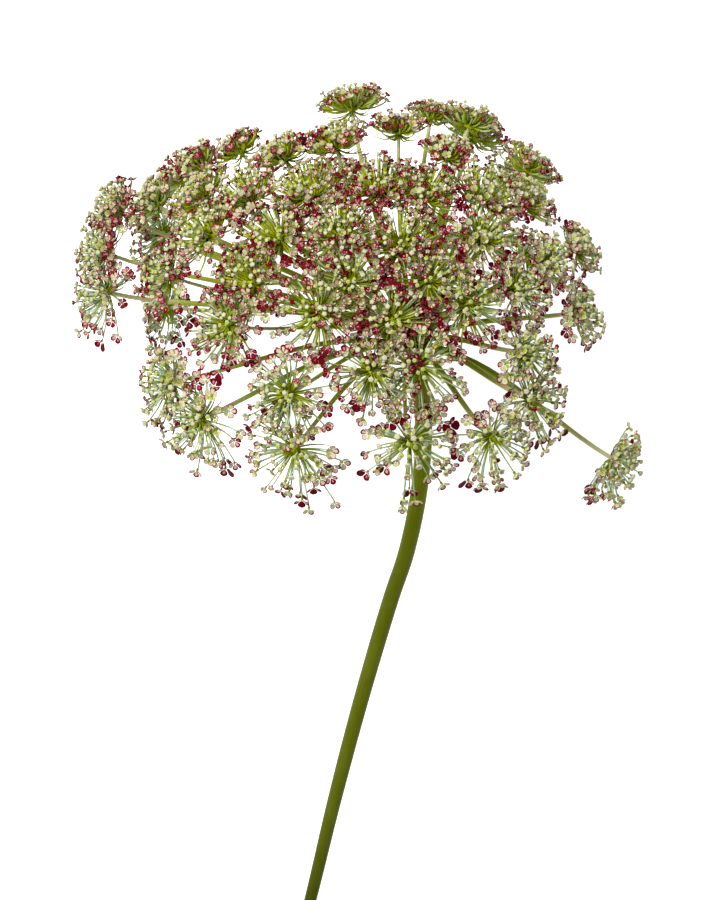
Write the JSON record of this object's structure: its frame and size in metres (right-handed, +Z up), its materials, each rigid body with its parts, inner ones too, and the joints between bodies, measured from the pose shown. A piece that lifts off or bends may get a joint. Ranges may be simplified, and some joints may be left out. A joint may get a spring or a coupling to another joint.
{
  "type": "queen annes lace flower",
  "caption": "Cut flower stem with a domed, lacy compound umbel: small heads of tiny florets on arching rays, lying on its side.",
  "frame": {"origin": "on the surface that the flower lies on, under the middle of its bounding box", "axes": "+Z up from the surface, +Y along the stem from its cut end towards the flower head, +X to the right seen from above"},
  "size_m": [0.1132, 0.1938, 0.0989],
  "materials": {
    "stalk": "smooth fresh green plant tissue with a faint waxy sheen",
    "umbellet": "soft thin petals, cream to crimson, on pale green stalks"
  },
  "bodies": {
    "root": {"stem": "stalk", "umbellet_01": "umbellet", "umbellet_02": "umbellet", "umbellet_03": "umbellet", "umbellet_04": "umbellet", "umbellet_05": "umbellet", "umbellet_06": "umbellet", "umbellet_07": "umbellet", "umbellet_08": "umbellet", "umbellet_09": "umbellet", "umbellet_10": "umbellet", "umbellet_11": "umbellet", "umbellet_12": "umbellet", "umbellet_13": "umbellet", "umbellet_14": "umbellet", "umbellet_15": "umbellet", "umbellet_16": "umbellet", "umbellet_17": "umbellet", "umbellet_18": "umbellet", "umbellet_19": "umbellet", "umbellet_20": "umbellet", "umbellet_21": "umbellet", "umbellet_22": "umbellet", "umbellet_23": "umbellet", "umbellet_24": "umbellet", "umbellet_25": "umbellet", "umbellet_26": "umbellet", "umbellet_27": "umbellet", "umbellet_28": "umbellet", "umbellet_29": "umbellet", "umbellet_30": "umbellet", "umbellet_31": "umbellet", "umbellet_32": "umbellet", "umbellet_33": "umbellet", "umbellet_34": "umbellet", "umbellet_35": "umbellet", "umbellet_36": "umbellet", "umbellet_37": "umbellet", "umbellet_38": "umbellet", "umbellet_39": "umbellet", "umbellet_40": "umbellet", "umbellet_41": "umbellet", "umbellet_42": "umbellet", "umbellet_43": "umbellet", "umbellet_44": "umbellet", "umbellet_45": "umbellet", "umbellet_46": "umbellet", "umbellet_47": "umbellet", "umbellet_48": "umbellet", "umbellet_49": "umbellet", "umbellet_50": "umbellet", "umbellet_51": "umbellet", "umbellet_52": "umbellet", "umbellet_53": "umbellet", "umbellet_54": "umbellet", "umbellet_55": "umbellet", "umbellet_56": "umbellet", "umbellet_57": "umbellet", "umbellet_58": "umbellet", "umbellet_59": "umbellet"}
  },
  "joints": []
}
